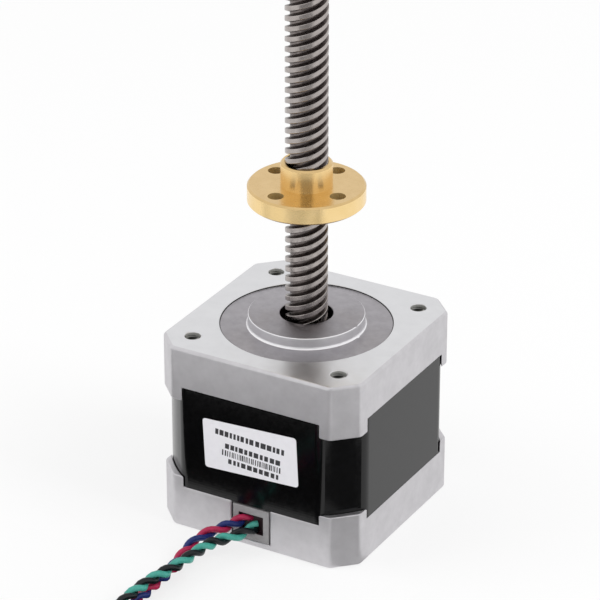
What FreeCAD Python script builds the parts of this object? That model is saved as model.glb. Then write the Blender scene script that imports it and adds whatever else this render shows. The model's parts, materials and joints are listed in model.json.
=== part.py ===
import FreeCAD, Part
import math
import os

import Sketcher
from FreeCAD import Placement, Rotation, Vector

# A lead screw stepper motor: two cast end caps clamp a toothed stator with four long screws, and
# the rotor's shaft goes on above the mounting face as a lead screw that carries a flanged nut.
# Millimetres. Z runs up along the screw and the origin is the middle of the rear face.

doc = FreeCAD.newDocument("lead_screw_stepper")
sheet = doc.addObject("Spreadsheet::Sheet", "Sizes")

SIZES = {
    # end caps
    "frame_side": 42.3,
    "corner_cut": 4.3,
    "corner_round": 1.5,
    "motor_length": 38.0,
    "front_cap_depth": 8.2,
    "rear_cap_depth": 8.7,
    "front_ear_length": 2.7,
    "rear_ear_length": 2.2,
    "ear_clearance": 0.05,
    "edge_bevel": 0.4,
    "cap_wall": 1.85,
    "front_plate": 2.6,
    "rear_plate": 2.8,
    "hub_diameter": 21.0,
    "rear_opening": 7.0,
    # front face
    "pilot_diameter": 22.0,
    "pilot_height": 2.0,
    "pilot_foot": 0.35,
    "recess_diameter": 32.6,
    "recess_depth": 0.3,
    "screw_opening": 10.0,
    "bolt_inset": 5.65,
    "bolt_hole": 3.0,
    "bolt_hole_depth": 4.5,
    # tie screws
    "tie_core": 2.5,
    "tie_shank": 2.9,
    "tie_hole": 3.3,
    "tie_length": 30.0,
    "tie_head_diameter": 5.5,
    "tie_head_height": 2.0,
    "tie_sink": 2.5,
    "tie_sink_clearance": 0.25,
    "tie_core_clearance": 0.02,
    # stator
    "stator_inset": 0.15,
    "stator_round_over": 9.2,
    "stator_edge_round": 3.0,
    "yoke_wall": 2.6,
    "pole_neck": 4.4,
    "shoe_thickness": 1.7,
    "shoe_clearance": 0.2,
    "shoe_tip": 0.7,
    "tooth_depth": 0.8,
    "stator_tooth": 0.75,
    # winding
    "insulator_plate": 0.8,
    "insulator_guard": 3.4,
    "guard_wall": 0.9,
    "guard_clearance": 0.1,
    "slot_liner": 0.4,
    "liner_clearance": 0.05,
    "coil_set_in": 6.25,
    "coil_depth": 2.5,
    "coil_build": 2.5,
    # rotor
    "air_gap": 0.15,
    "rotor_tooth": 0.7,
    "rotor_teeth": 50,
    "rotor_inset": 0.3,
    "core_gap": 2.0,
    "rotor_rim": 2.85,
    "magnet_seat": 0.8,
    "magnet_clearance": 0.05,
    "spacer_diameter": 7.4,
    # bearings
    "bearing_bore": 5.0,
    "bearing_outside": 16.0,
    "bearing_width": 5.0,
    "inner_ring_diameter": 7.8,
    "outer_ring_bore": 13.0,
    "shield_thickness": 0.3,
    "shield_inset": 0.2,
    "shield_clearance": 0.15,
    "washer_height": 0.8,
    "washer_thickness": 0.3,
    "washer_wall": 1.2,
    "washer_floor": 2.0,
    # lead screw and nut
    "screw_diameter": 8.0,
    "screw_length": 100.0,
    "screw_chamfer": 0.9,
    "shaft_rear_gap": 1.0,
    "shaft_chamfer": 0.4,
    "nut_rest": 25.0,
    "nut_turn": -15.3,
    "nut_clearance": 0.05,
    "nut_flange_diameter": 22.0,
    "nut_flange": 3.5,
    "nut_hub_diameter": 9.7,
    "nut_hub": 4.5,
    "nut_stub": 1.5,
    "nut_chamfer": 0.35,
    "nut_hole": 3.0,
    "nut_hole_circle": 16.0,
    # lead exit
    "notch_width": 8.4,
    "notch_floor": 1.4,
    "notch_lip": 0.85,
    "bush_side_gap": 0.35,
    "bush_fit": 0.05,
    "bush_set_back": 0.1,
    "bush_key": 0.6,
    "bush_depth": 1.75,
    "bush_top_gap": 0.4,
    "bush_mouth_width": 5.2,
    "bush_mouth_height": 3.8,
    "bush_mouth_floor": 1.6,
    "bush_mouth_depth": 1.2,
    # terminal board
    "board_thickness": 1.0,
    "board_drop": 0.9,
    "board_hub_gap": 2.0,
    "board_half_angle": 34.0,
    "pin_diameter": 0.6,
    "pin_stand": 0.4,
    # label
    "label_width": 20.0,
    "label_height": 10.2,
    "label_corner": 0.6,
    "label_thickness": 0.08,
    "label_centre": 20.1,
    "label_tilt": 2.8,
    # leads
    "lead_diameter": 3.14,
    "lead_coil_radius": 21.0,
    "lead_coil_wall": 7.3,
    "band_thickness": 0.4,
    "band_width": 3.0,
    "band_clearance": 0.05,
}

for row, (alias, value) in enumerate(SIZES.items(), start=1):
    sheet.set(f"A{row}", alias.replace("_", " "))
    sheet.set(f"B{row}", str(value))
    sheet.setAlias(f"B{row}", alias)
doc.recompute()

NEAR = 0.01
TEETH_PER_POLE = 6
POLES = 8
PIN_ANGLES = (-114, -98, -82, -66)
LEAD_COIL_CENTRE = (15.4, -74.0)
BAND_ANGLE = -50

# Heights and radii that several pieces share, as expressions on the sheet.
STACK_LOW = "Sizes.rear_cap_depth"
STACK_TOP = "(Sizes.motor_length - Sizes.front_cap_depth)"
STACK_LENGTH = f"({STACK_TOP} - {STACK_LOW})"
STACK_MIDDLE = f"(({STACK_TOP} + {STACK_LOW}) / 2)"
ROTOR_LOW = f"({STACK_LOW} + Sizes.rotor_inset)"
ROTOR_TOP = f"({STACK_TOP} - Sizes.rotor_inset)"
FRONT_BEARING_LOW = "(Sizes.motor_length - Sizes.bearing_width)"
REAR_BEARING_LOW = "(Sizes.washer_floor + Sizes.washer_height)"
REAR_BEARING_TOP = f"({REAR_BEARING_LOW} + Sizes.bearing_width)"
CAVITY_RADIUS = "(Sizes.frame_side / 2 - Sizes.cap_wall)"
BEARING_RADIUS = "Sizes.bearing_outside / 2"
SHAFT_RADIUS = "Sizes.bearing_bore / 2"
BOLT_OFFSET = "(Sizes.frame_side / 2 - Sizes.bolt_inset)"
TIE_SEAT = "Sizes.tie_sink"
TIE_TIP = "(Sizes.tie_sink + Sizes.tie_length)"
STATOR_SIDE = "(Sizes.frame_side - 2 * Sizes.stator_inset)"
STATOR_ROUND = f"({STATOR_SIDE} + Sizes.stator_round_over)"
YOKE_BORE = f"({STATOR_SIDE} - 2 * Sizes.yoke_wall)"
COIL_INNER = "(Sizes.frame_side / 2 - Sizes.coil_set_in)"
COIL_OUTER = f"({COIL_INNER} + Sizes.coil_depth)"
SHOE_BACK = f"({COIL_INNER} - Sizes.shoe_clearance)"
STATOR_RADIUS = f"({SHOE_BACK} - Sizes.shoe_thickness)"
ROTOR_RADIUS = f"({STATOR_RADIUS} - Sizes.air_gap)"
MAGNET_RADIUS = f"({ROTOR_RADIUS} - Sizes.rotor_rim)"
COIL_HALF = "(Sizes.pole_neck / 2 + Sizes.liner_clearance * 2 + Sizes.slot_liner)"
COIL_CORNER = f"sqrt(pow({COIL_OUTER}; 2) + pow({COIL_HALF} + Sizes.coil_build; 2))"
GUARD_INNER = f"({COIL_CORNER} + Sizes.guard_clearance)"
GUARD_LOW = f"({STACK_LOW} - Sizes.insulator_guard)"
BOARD_TOP = f"({GUARD_LOW} - Sizes.board_drop)"
GUARD_OUTER = f"({GUARD_INNER} + Sizes.guard_wall)"
PIN_CIRCLE = f"({GUARD_INNER} + Sizes.guard_wall / 2)"
LEAD_COIL_OUTER = "(Sizes.lead_coil_radius + Sizes.lead_diameter / 2)"
LEAD_COIL_INNER = f"({LEAD_COIL_OUTER} - Sizes.lead_coil_wall - Sizes.lead_diameter)"
LEAD_COIL_TOP = "(Sizes.band_thickness + Sizes.lead_diameter)"


def size(alias):
    """A sheet value as a plain number, for shapes that are computed in code."""
    return float(sheet.get(alias))


def origin_feature(body, role):
    return next(f for f in body.Origin.OriginFeatures if f.Role == role)


def new_body(label):
    body = doc.addObject("PartDesign::Body", label)
    body.Label = label
    return body


def sketch_on(body, role, offset=None):
    sketch = body.newObject("Sketcher::SketchObject", "Sketch")
    sketch.AttachmentSupport = [(origin_feature(body, role), "")]
    sketch.MapMode = "FlatFace"
    if offset:
        sketch.setExpression("AttachmentOffset.Base.z", offset)
    return sketch


def fix_point(sketch, geometry, position, x, y):
    """Hold one point of a sketch at two expressions measured from the sketch's origin."""
    for kind, text in (("DistanceX", x), ("DistanceY", y)):
        at = sketch.addConstraint(Sketcher.Constraint(kind, -1, 1, geometry, position, 1.0))
        name = f"{kind}_{geometry}_{position}"
        sketch.renameConstraint(at, name)
        sketch.setExpression(f"Constraints.{name}", text)


def outline(sketch, points):
    """A closed outline of straight sides through points given as pairs of expressions."""
    first = sketch.GeometryCount
    count = len(points)
    turns = [2 * math.pi * i / count for i in range(count)]
    corners = [Vector(10 * math.cos(a), 10 * math.sin(a), 0) for a in turns]
    for i in range(count):
        sketch.addGeometry(Part.LineSegment(corners[i], corners[(i + 1) % count]), False)
    for i in range(count):
        following = first + (i + 1) % count
        sketch.addConstraint(Sketcher.Constraint("Coincident", first + i, 2, following, 1))
    for i, (x, y) in enumerate(points):
        fix_point(sketch, first + i, 1, x, y)


def rectangle(sketch, left, right, low, high):
    outline(sketch, [(left, low), (right, low), (right, high), (left, high)])


def circle(sketch, diameter, x="0", y="0"):
    at = sketch.addGeometry(Part.Circle(Vector(1, 1, 0), Vector(0, 0, 1), 1.0), False)
    index = sketch.addConstraint(Sketcher.Constraint("Diameter", at, 2.0))
    sketch.renameConstraint(index, f"Diameter_{at}")
    sketch.setExpression(f"Constraints.Diameter_{at}", diameter)
    fix_point(sketch, at, 3, x, y)


def chamfered_square(sketch, side, cut):
    half = f"{side} / 2"
    short = f"({side} / 2 - {cut})"
    outline(
        sketch,
        [
            (short, f"-{half}"),
            (half, f"-{short}"),
            (half, short),
            (short, half),
            (f"-{short}", half),
            (f"-{half}", short),
            (f"-{half}", f"-{short}"),
            (f"-{short}", f"-{half}"),
        ],
    )


def pad(body, sketch, length, reversed_way=False):
    feature = body.newObject("PartDesign::Pad", "Pad")
    feature.Profile = sketch
    feature.setExpression("Length", length)
    feature.Reversed = reversed_way
    body.Tip = feature
    doc.recompute()
    return feature


def cut(body, sketch, length, upward):
    """A pocket whose way is checked by the material that it takes away."""
    before = body.Shape.Volume
    feature = body.newObject("PartDesign::Pocket", "Pocket")
    feature.Profile = sketch
    feature.setExpression("Length", length)
    feature.Reversed = upward
    body.Tip = feature
    doc.recompute()
    if feature.Shape.Volume >= before:
        raise RuntimeError(f"{body.Label}: a pocket takes nothing away")
    return feature


def revolve(body, points):
    """A turned solid from an outline of radius and height expressions."""
    sketch = sketch_on(body, "XZ_Plane")
    outline(sketch, points)
    feature = body.newObject("PartDesign::Revolution", "Revolution")
    feature.Profile = sketch
    feature.ReferenceAxis = (sketch, ["V_Axis"])
    feature.Angle = 360
    body.Tip = feature
    doc.recompute()
    return feature


def groove(body, points):
    """A turned cut from an outline of radius and height expressions."""
    before = body.Shape.Volume
    sketch = sketch_on(body, "XZ_Plane")
    outline(sketch, points)
    feature = body.newObject("PartDesign::Groove", "Groove")
    feature.Profile = sketch
    feature.ReferenceAxis = (sketch, ["V_Axis"])
    feature.Angle = 360
    body.Tip = feature
    doc.recompute()
    if feature.Shape.Volume >= before:
        raise RuntimeError(f"{body.Label}: a groove takes nothing away")
    return feature


def around(body, originals, count, occurrences=None):
    """Repeat features about the body's Z axis."""
    feature = body.newObject("PartDesign::PolarPattern", "PolarPattern")
    feature.Originals = originals
    feature.Axis = (origin_feature(body, "Z_Axis"), [""])
    feature.Angle = 360
    feature.Occurrences = count
    if occurrences:
        feature.setExpression("Occurrences", occurrences)
    body.Tip = feature
    doc.recompute()
    return feature


def edges_where(feature, test):
    return [f"Edge{i}" for i, edge in enumerate(feature.Shape.Edges, start=1) if test(edge)]


def round_edges(body, feature, test, radius):
    fillet = body.newObject("PartDesign::Fillet", "Fillet")
    fillet.Base = (feature, edges_where(feature, test))
    fillet.setExpression("Radius", radius)
    body.Tip = fillet
    doc.recompute()
    return fillet


def bevel_edges(body, feature, test, width):
    chamfer = body.newObject("PartDesign::Chamfer", "Chamfer")
    chamfer.Base = (feature, edges_where(feature, test))
    chamfer.setExpression("Size", width)
    body.Tip = chamfer
    doc.recompute()
    return chamfer


def upright(edge):
    return edge.BoundBox.ZLength > NEAR


def corner_bores(body, diameter, start, length, upward):
    """Four holes on the bolt square."""
    sketch = sketch_on(body, "XY_Plane", start)
    circle(sketch, diameter, BOLT_OFFSET, BOLT_OFFSET)
    hole = cut(body, sketch, length, upward)
    return around(body, [hole], 4)


def cap_blank(body, low, length, outer_height):
    """The cap's prism with round upright edges and a bevel about its outer face."""
    sketch = sketch_on(body, "XY_Plane", low)
    chamfered_square(sketch, "Sizes.frame_side", "Sizes.corner_cut")
    prism = pad(body, sketch, length)

    def about_outer_face(edge):
        box = edge.BoundBox
        return abs(box.ZMin - outer_height) < NEAR and abs(box.ZMax - outer_height) < NEAR

    rounded = round_edges(body, prism, upright, "Sizes.corner_round")
    return bevel_edges(body, rounded, about_outer_face, "Sizes.edge_bevel")


def spigot_diameter():
    return f"{STATOR_ROUND} + 2 * Sizes.ear_clearance"


def front_end_cap():
    body = new_body("front_end_cap")
    low = f"({STACK_TOP} - Sizes.front_ear_length)"
    cap_blank(body, low, "Sizes.front_cap_depth + Sizes.front_ear_length", size("motor_length"))

    spigot = sketch_on(body, "XY_Plane", low)
    circle(spigot, spigot_diameter())
    cut(body, spigot, "Sizes.front_ear_length", True)

    face = sketch_on(body, "XY_Plane", "Sizes.motor_length")
    circle(face, "Sizes.recess_diameter")
    cut(body, face, "Sizes.recess_depth", False)

    pilot = sketch_on(body, "XY_Plane", "Sizes.motor_length - Sizes.recess_depth")
    circle(pilot, "Sizes.pilot_diameter")
    boss = pad(body, pilot, "Sizes.pilot_height + Sizes.recess_depth")
    foot = size("motor_length") - size("recess_depth")

    def at_foot(edge):
        box = edge.BoundBox
        level = abs(box.ZMin - foot) < NEAR and abs(box.ZMax - foot) < NEAR
        return level and abs(box.XMax - size("pilot_diameter") / 2) < NEAR

    bevel_edges(body, boss, at_foot, "Sizes.pilot_foot")

    plate_low = "(Sizes.motor_length - Sizes.front_plate)"
    groove(
        body,
        [
            ("0", STACK_TOP),
            (CAVITY_RADIUS, STACK_TOP),
            (CAVITY_RADIUS, plate_low),
            ("Sizes.hub_diameter / 2", plate_low),
            ("Sizes.hub_diameter / 2", FRONT_BEARING_LOW),
            (BEARING_RADIUS, FRONT_BEARING_LOW),
            (BEARING_RADIUS, "Sizes.motor_length"),
            ("Sizes.screw_opening / 2", "Sizes.motor_length"),
            ("Sizes.screw_opening / 2", "Sizes.motor_length + Sizes.pilot_height"),
            ("0", "Sizes.motor_length + Sizes.pilot_height"),
        ],
    )
    corner_bores(body, "Sizes.bolt_hole", "Sizes.motor_length", "Sizes.bolt_hole_depth", False)
    thread_length = "Sizes.front_cap_depth - Sizes.bolt_hole_depth"
    corner_bores(body, "Sizes.tie_core", STACK_TOP, thread_length, True)
    return body


def rear_end_cap():
    body = new_body("rear_end_cap")
    cap_blank(body, "0", "Sizes.rear_cap_depth + Sizes.rear_ear_length", 0.0)

    spigot = sketch_on(body, "XY_Plane", STACK_LOW)
    circle(spigot, spigot_diameter())
    cut(body, spigot, "Sizes.rear_ear_length", True)

    groove(
        body,
        [
            ("0", "0"),
            ("Sizes.rear_opening / 2", "0"),
            ("Sizes.rear_opening / 2", "Sizes.washer_floor"),
            (BEARING_RADIUS, "Sizes.washer_floor"),
            (BEARING_RADIUS, REAR_BEARING_TOP),
            ("Sizes.hub_diameter / 2", REAR_BEARING_TOP),
            ("Sizes.hub_diameter / 2", "Sizes.rear_plate"),
            (CAVITY_RADIUS, "Sizes.rear_plate"),
            (CAVITY_RADIUS, STACK_LOW),
            ("0", STACK_LOW),
        ],
    )
    sink = "Sizes.tie_head_diameter + 2 * Sizes.tie_sink_clearance"
    corner_bores(body, sink, "0", TIE_SEAT, True)
    corner_bores(body, "Sizes.tie_hole", TIE_SEAT, f"{STACK_LOW} - {TIE_SEAT}", True)

    # The leads' way out is a slot that is wider behind a lip, so the bush slides in from above.
    half_side = "Sizes.frame_side / 2"
    lip = f"({half_side} - Sizes.notch_lip)"
    half_notch = "Sizes.notch_width / 2"
    wide = f"({half_notch} + Sizes.bush_key)"
    inside = f"({CAVITY_RADIUS} - 2 * Sizes.bush_depth)"
    depth = f"{STACK_LOW} - Sizes.notch_floor"
    slot = sketch_on(body, "XY_Plane", "Sizes.notch_floor")
    outline(
        slot,
        [
            (half_notch, f"-{half_side}"),
            (half_notch, f"-{lip}"),
            (wide, f"-{lip}"),
            (wide, f"-{inside}"),
            (f"-{wide}", f"-{inside}"),
            (f"-{wide}", f"-{lip}"),
            (f"-{half_notch}", f"-{lip}"),
            (f"-{half_notch}", f"-{half_side}"),
        ],
    )
    cut(body, slot, depth, True)
    return body


def tie_screws():
    body = new_body("tie_screws")
    stretches = (
        ("Sizes.tie_head_diameter", f"{TIE_SEAT} - Sizes.tie_head_height", "Sizes.tie_head_height"),
        ("Sizes.tie_shank", TIE_SEAT, f"{STACK_TOP} - {TIE_SEAT}"),
        ("Sizes.tie_core - 2 * Sizes.tie_core_clearance", STACK_TOP, f"{TIE_TIP} - {STACK_TOP}"),
    )
    features = []
    for diameter, low, length in stretches:
        sketch = sketch_on(body, "XY_Plane", low)
        circle(sketch, diameter, BOLT_OFFSET, BOLT_OFFSET)
        features.append(pad(body, sketch, length))
    around(body, features, 4)
    return body


def pole_points():
    """One pole from the yoke to its toothed shoe, pointing along X."""
    root = f"({STATOR_RADIUS} + Sizes.tooth_depth)"
    half_neck = "Sizes.pole_neck / 2"
    yoke = f"({YOKE_BORE} / 2 + Sizes.tooth_depth)"
    tooth_angle = f"asin(Sizes.stator_tooth / 2 / {STATOR_RADIUS})"
    root_angle = f"asin(Sizes.stator_tooth / 2 / {root})"

    def polar(radius, angle):
        return f"{radius} * cos({angle})", f"{radius} * sin({angle})"

    last = TEETH_PER_POLE - 1
    teeth = []
    for i in range(TEETH_PER_POLE):
        middle = f"({i - last / 2} * 360 deg / Sizes.rotor_teeth)"
        if i > 0:
            teeth.append(polar(root, f"{middle} - {root_angle}"))
        teeth.append(polar(STATOR_RADIUS, f"{middle} - {tooth_angle}"))
        teeth.append(polar(STATOR_RADIUS, f"{middle} + {tooth_angle}"))
        if i < last:
            teeth.append(polar(root, f"{middle} + {root_angle}"))
    end = f"({last / 2} * 360 deg / Sizes.rotor_teeth + {tooth_angle})"
    tip_x, tip_y = polar(f"({root} + Sizes.shoe_tip)", end)
    low_side = [(yoke, f"-{half_neck}"), (SHOE_BACK, f"-{half_neck}"), (tip_x, f"-({tip_y})")]
    high_side = [(tip_x, tip_y), (SHOE_BACK, half_neck), (yoke, half_neck)]
    return low_side + teeth + high_side


def stator_core():
    body = new_body("stator_core")
    half = f"{STATOR_SIDE} / 2"
    square = sketch_on(body, "XY_Plane", STACK_LOW)
    rectangle(square, f"-{half}", half, f"-{half}", half)
    circle(square, YOKE_BORE)
    pad(body, square, STACK_LENGTH)

    rounds = sketch_on(body, "XY_Plane", STACK_LOW)
    circle(rounds, STATOR_ROUND)
    circle(rounds, f"{STATOR_SIDE} * 2")
    corners = cut(body, rounds, STACK_LENGTH, True)
    half_side = size("frame_side") / 2 - size("stator_inset")

    def at_side(edge):
        reach = max(abs(edge.Vertexes[0].X), abs(edge.Vertexes[0].Y))
        return upright(edge) and abs(reach - half_side) < NEAR

    round_edges(body, corners, at_side, "Sizes.stator_edge_round")

    pole = sketch_on(body, "XY_Plane", STACK_LOW)
    outline(pole, pole_points())
    around(body, [pad(body, pole, STACK_LENGTH)], POLES)
    corner_bores(body, "Sizes.tie_hole", STACK_LOW, STACK_LENGTH, True)
    return body


def insulator(label, seat, downward):
    """A moulded end insulator: a guard ring, and on each pole an arm, an inner wall and slot liners."""
    body = new_body(label)
    ring = sketch_on(body, "XY_Plane", seat)
    circle(ring, f"2 * {GUARD_OUTER}")
    circle(ring, f"2 * {GUARD_INNER}")
    pad(body, ring, "Sizes.insulator_guard", downward)

    half_arm = "(Sizes.pole_neck / 2 + Sizes.liner_clearance + Sizes.slot_liner)"
    inner = f"({COIL_INNER} - Sizes.guard_clearance)"
    arm = sketch_on(body, "XY_Plane", seat)
    inner_face = f"({inner} - Sizes.guard_wall)"
    rectangle(arm, inner_face, f"({GUARD_INNER} + Sizes.guard_wall / 2)", f"-{half_arm}", half_arm)
    features = [pad(body, arm, "Sizes.insulator_plate", downward)]

    wall = sketch_on(body, "XY_Plane", seat)
    half_wall = f"({half_arm} + Sizes.guard_wall)"
    rectangle(wall, inner_face, inner, f"-{half_wall}", half_wall)
    features.append(pad(body, wall, "Sizes.insulator_guard", downward))

    half_neck = "(Sizes.pole_neck / 2 + Sizes.liner_clearance)"
    for side in ("", "-"):
        liner = sketch_on(body, "XY_Plane", seat)
        edges = (f"{side}{half_neck}", f"{side}{half_arm}")
        low, high = edges if side == "" else edges[::-1]
        rectangle(liner, COIL_INNER, f"({COIL_OUTER} + Sizes.guard_clearance)", low, high)
        features.append(pad(body, liner, f"{STACK_LENGTH} / 2", not downward))
    around(body, features, POLES)
    return body


def coils(label, first_pole):
    """Every second pole's winding: a loop about the pole with rounded outer corners."""
    body = new_body(label)
    half_height = f"({STACK_LENGTH} / 2 + Sizes.insulator_plate + Sizes.liner_clearance)"
    sketch = sketch_on(body, "YZ_Plane", COIL_INNER)
    outer_half = f"({COIL_HALF} + Sizes.coil_build)"
    outer_height = f"({half_height} + Sizes.coil_build)"
    rectangle(
        sketch,
        f"-{outer_half}",
        outer_half,
        f"{STACK_MIDDLE} - {outer_height}",
        f"{STACK_MIDDLE} + {outer_height}",
    )
    rectangle(
        sketch,
        f"-{COIL_HALF}",
        COIL_HALF,
        f"{STACK_MIDDLE} - {half_height}",
        f"{STACK_MIDDLE} + {half_height}",
    )
    loop = pad(body, sketch, "Sizes.coil_depth")
    edge_at = size("pole_neck") / 2 + size("liner_clearance") * 2 + size("slot_liner") + size("coil_build")

    def outer_corner(edge):
        along = abs(edge.Vertexes[0].X - edge.Vertexes[-1].X) > NEAR
        return along and abs(abs(edge.Vertexes[0].Y) - edge_at) < NEAR

    rounded = round_edges(body, loop, outer_corner, "Sizes.coil_build * 0.8")
    around(body, [loop, rounded], POLES // 2)
    body.Placement.Rotation = Rotation(Vector(0, 0, 1), first_pole * 360 / POLES)
    return body


def bearing(position, low):
    """A shielded ball bearing's outer ring, its two shields and its inner ring."""
    top = f"({low} + Sizes.bearing_width)"
    rings = []
    for label, inner, outer in (
        (f"{position}_bearing_outer_ring", "Sizes.outer_ring_bore / 2", BEARING_RADIUS),
        (f"{position}_bearing_inner_ring", SHAFT_RADIUS, "Sizes.inner_ring_diameter / 2"),
    ):
        body = new_body(label)
        revolve(body, [(inner, low), (outer, low), (outer, top), (inner, top)])
        rings.append(body)
    shields = new_body(f"{position}_bearing_shields")
    lower_face = f"({low} + Sizes.shield_inset)"
    upper_face = f"({top} - Sizes.shield_inset - Sizes.shield_thickness)"
    for face in (lower_face, upper_face):
        sketch = sketch_on(shields, "XY_Plane", face)
        circle(sketch, "Sizes.outer_ring_bore")
        circle(sketch, "Sizes.inner_ring_diameter + 2 * Sizes.shield_clearance")
        pad(shields, sketch, "Sizes.shield_thickness")
    return rings + [shields]


def wave_washer():
    """A spring washer with three waves between the rear bearing and the cap."""
    outer = size("bearing_outside") / 2 - size("shield_clearance")
    inner = outer - size("washer_wall")
    floor = size("washer_floor")
    swing = (size("washer_height") - size("washer_thickness")) / 2
    waves = 3
    steps = waves * 8

    def wave_edge(radius, lift):
        points = []
        for i in range(steps):
            turn = 2 * math.pi * i / steps
            height = floor + lift + swing * (1 - math.cos(waves * turn))
            points.append(Vector(radius * math.cos(turn), radius * math.sin(turn), height))
        curve = Part.BSplineCurve()
        curve.interpolate(Points=points, PeriodicFlag=True)
        return curve.toShape()

    thickness = size("washer_thickness")
    low_in, low_out = wave_edge(inner, 0.0), wave_edge(outer, 0.0)
    high_in, high_out = wave_edge(inner, thickness), wave_edge(outer, thickness)
    pairs = ((low_in, low_out), (high_in, high_out), (low_in, high_in), (low_out, high_out))
    faces = [Part.makeRuledSurface(a, b) for a, b in pairs]
    solid = Part.makeSolid(Part.makeShell(faces))
    if solid.Volume < 0:
        solid.reverse()
    feature = doc.addObject("Part::Feature", "wave_washer")
    feature.Label = "wave_washer"
    feature.Shape = solid
    return feature


def rotor_core(label, low, length, seat_at, half_pitch):
    """A toothed rotor half with a recess for the magnet in its inner face."""
    body = new_body(label)
    disc = sketch_on(body, "XY_Plane", low)
    circle(disc, f"2 * {ROTOR_RADIUS}")
    circle(disc, "Sizes.bearing_bore")
    pad(body, disc, length)

    seat = sketch_on(body, "XY_Plane", seat_at)
    circle(seat, f"2 * ({MAGNET_RADIUS} + Sizes.magnet_clearance)")
    cut(body, seat, "Sizes.magnet_seat", True)

    gap = sketch_on(body, "XY_Plane", low)
    half_gap = f"({ROTOR_RADIUS} * sin(180 deg / Sizes.rotor_teeth) - Sizes.rotor_tooth / 2)"
    root = f"({ROTOR_RADIUS} - Sizes.tooth_depth)"
    rectangle(gap, root, f"({ROTOR_RADIUS} + Sizes.tooth_depth)", f"-{half_gap}", half_gap)
    space = cut(body, gap, length, True)
    around(body, [space], int(size("rotor_teeth")), "Sizes.rotor_teeth")
    if half_pitch:
        body.setExpression("Placement.Rotation.Angle", "180 deg / Sizes.rotor_teeth")
        body.Placement.Rotation.Axis = Vector(0, 0, 1)
    return body


def rotor_stack():
    half_gap = "Sizes.core_gap / 2"
    lower_top = f"({STACK_MIDDLE} - {half_gap})"
    upper_low = f"({STACK_MIDDLE} + {half_gap})"
    front = rotor_core(
        "front_rotor_core", upper_low, f"{ROTOR_TOP} - {upper_low}", upper_low, False
    )
    rear = rotor_core(
        "rear_rotor_core",
        ROTOR_LOW,
        f"{lower_top} - {ROTOR_LOW}",
        f"{lower_top} - Sizes.magnet_seat",
        True,
    )
    magnet = new_body("rotor_magnet")
    low = f"({lower_top} - Sizes.magnet_seat)"
    top = f"({upper_low} + Sizes.magnet_seat)"
    section = [(SHAFT_RADIUS, low), (MAGNET_RADIUS, low), (MAGNET_RADIUS, top), (SHAFT_RADIUS, top)]
    revolve(magnet, section)
    return [front, rear, magnet]


def spacer(label, low, top):
    body = new_body(label)
    radius = "Sizes.spacer_diameter / 2"
    revolve(body, [(SHAFT_RADIUS, low), (radius, low), (radius, top), (SHAFT_RADIUS, top)])
    return body


def lead_screw():
    body = new_body("lead_screw")
    radius = "Sizes.screw_diameter / 2"
    end = "(Sizes.motor_length + Sizes.screw_length)"
    revolve(
        body,
        [
            ("0", "Sizes.shaft_rear_gap"),
            (f"{SHAFT_RADIUS} - Sizes.shaft_chamfer", "Sizes.shaft_rear_gap"),
            (SHAFT_RADIUS, "Sizes.shaft_rear_gap + Sizes.shaft_chamfer"),
            (SHAFT_RADIUS, "Sizes.motor_length"),
            (radius, "Sizes.motor_length"),
            (radius, f"{end} - Sizes.screw_chamfer"),
            (f"{radius} - Sizes.screw_chamfer", end),
            ("0", end),
        ],
    )
    return body


def travelling_nut():
    body = new_body("travelling_nut")
    bore = "(Sizes.screw_diameter / 2 + Sizes.nut_clearance)"
    hub = "Sizes.nut_hub_diameter / 2"
    rim = "Sizes.nut_flange_diameter / 2"
    bevel = "Sizes.nut_chamfer"
    top = "(Sizes.nut_flange + Sizes.nut_hub)"
    revolve(
        body,
        [
            (bore, "-Sizes.nut_stub"),
            (f"{hub} - {bevel}", "-Sizes.nut_stub"),
            (hub, f"-Sizes.nut_stub + {bevel}"),
            (hub, "0"),
            (f"{rim} - {bevel}", "0"),
            (rim, bevel),
            (rim, f"Sizes.nut_flange - {bevel}"),
            (f"{rim} - {bevel}", "Sizes.nut_flange"),
            (hub, "Sizes.nut_flange"),
            (hub, f"{top} - {bevel}"),
            (f"{hub} - {bevel}", top),
            (bore, top),
        ],
    )
    sketch = sketch_on(body, "XY_Plane")
    circle(sketch, "Sizes.nut_hole", "Sizes.nut_hole_circle / 2", "0")
    around(body, [cut(body, sketch, "Sizes.nut_flange", True)], 4)
    body.setExpression("Placement.Base.z", "Sizes.motor_length + Sizes.nut_rest")
    body.setExpression("Placement.Rotation.Angle", "Sizes.nut_turn * 1 deg")
    body.Placement.Rotation.Axis = Vector(0, 0, 1)
    return body


def lead_exit_bush():
    """The plastic frame in the rear cap's slot that the leads come out of."""
    body = new_body("lead_exit_bush")
    face = "(Sizes.frame_side / 2 - Sizes.bush_set_back)"
    lip = "(Sizes.frame_side / 2 - Sizes.notch_lip - Sizes.bush_fit)"
    back = "(Sizes.frame_side / 2 - Sizes.bush_depth)"
    narrow = "(Sizes.notch_width / 2 - Sizes.bush_side_gap)"
    wide = "(Sizes.notch_width / 2 + Sizes.bush_key - Sizes.bush_fit)"
    plan = sketch_on(body, "XY_Plane", "Sizes.notch_floor")
    outline(
        plan,
        [
            (narrow, f"-{face}"),
            (narrow, f"-{lip}"),
            (wide, f"-{lip}"),
            (wide, f"-{back}"),
            (f"-{wide}", f"-{back}"),
            (f"-{wide}", f"-{lip}"),
            (f"-{narrow}", f"-{lip}"),
            (f"-{narrow}", f"-{face}"),
        ],
    )
    pad(body, plan, f"{STACK_LOW} - Sizes.notch_floor - Sizes.bush_top_gap")
    mouth = sketch_on(body, "XZ_Plane", face)
    half = "Sizes.bush_mouth_width / 2"
    low = "(Sizes.notch_floor + Sizes.bush_mouth_floor)"
    rectangle(mouth, f"-{half}", half, low, f"{low} + Sizes.bush_mouth_height")
    cut(body, mouth, "Sizes.bush_mouth_depth", False)
    return body


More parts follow.
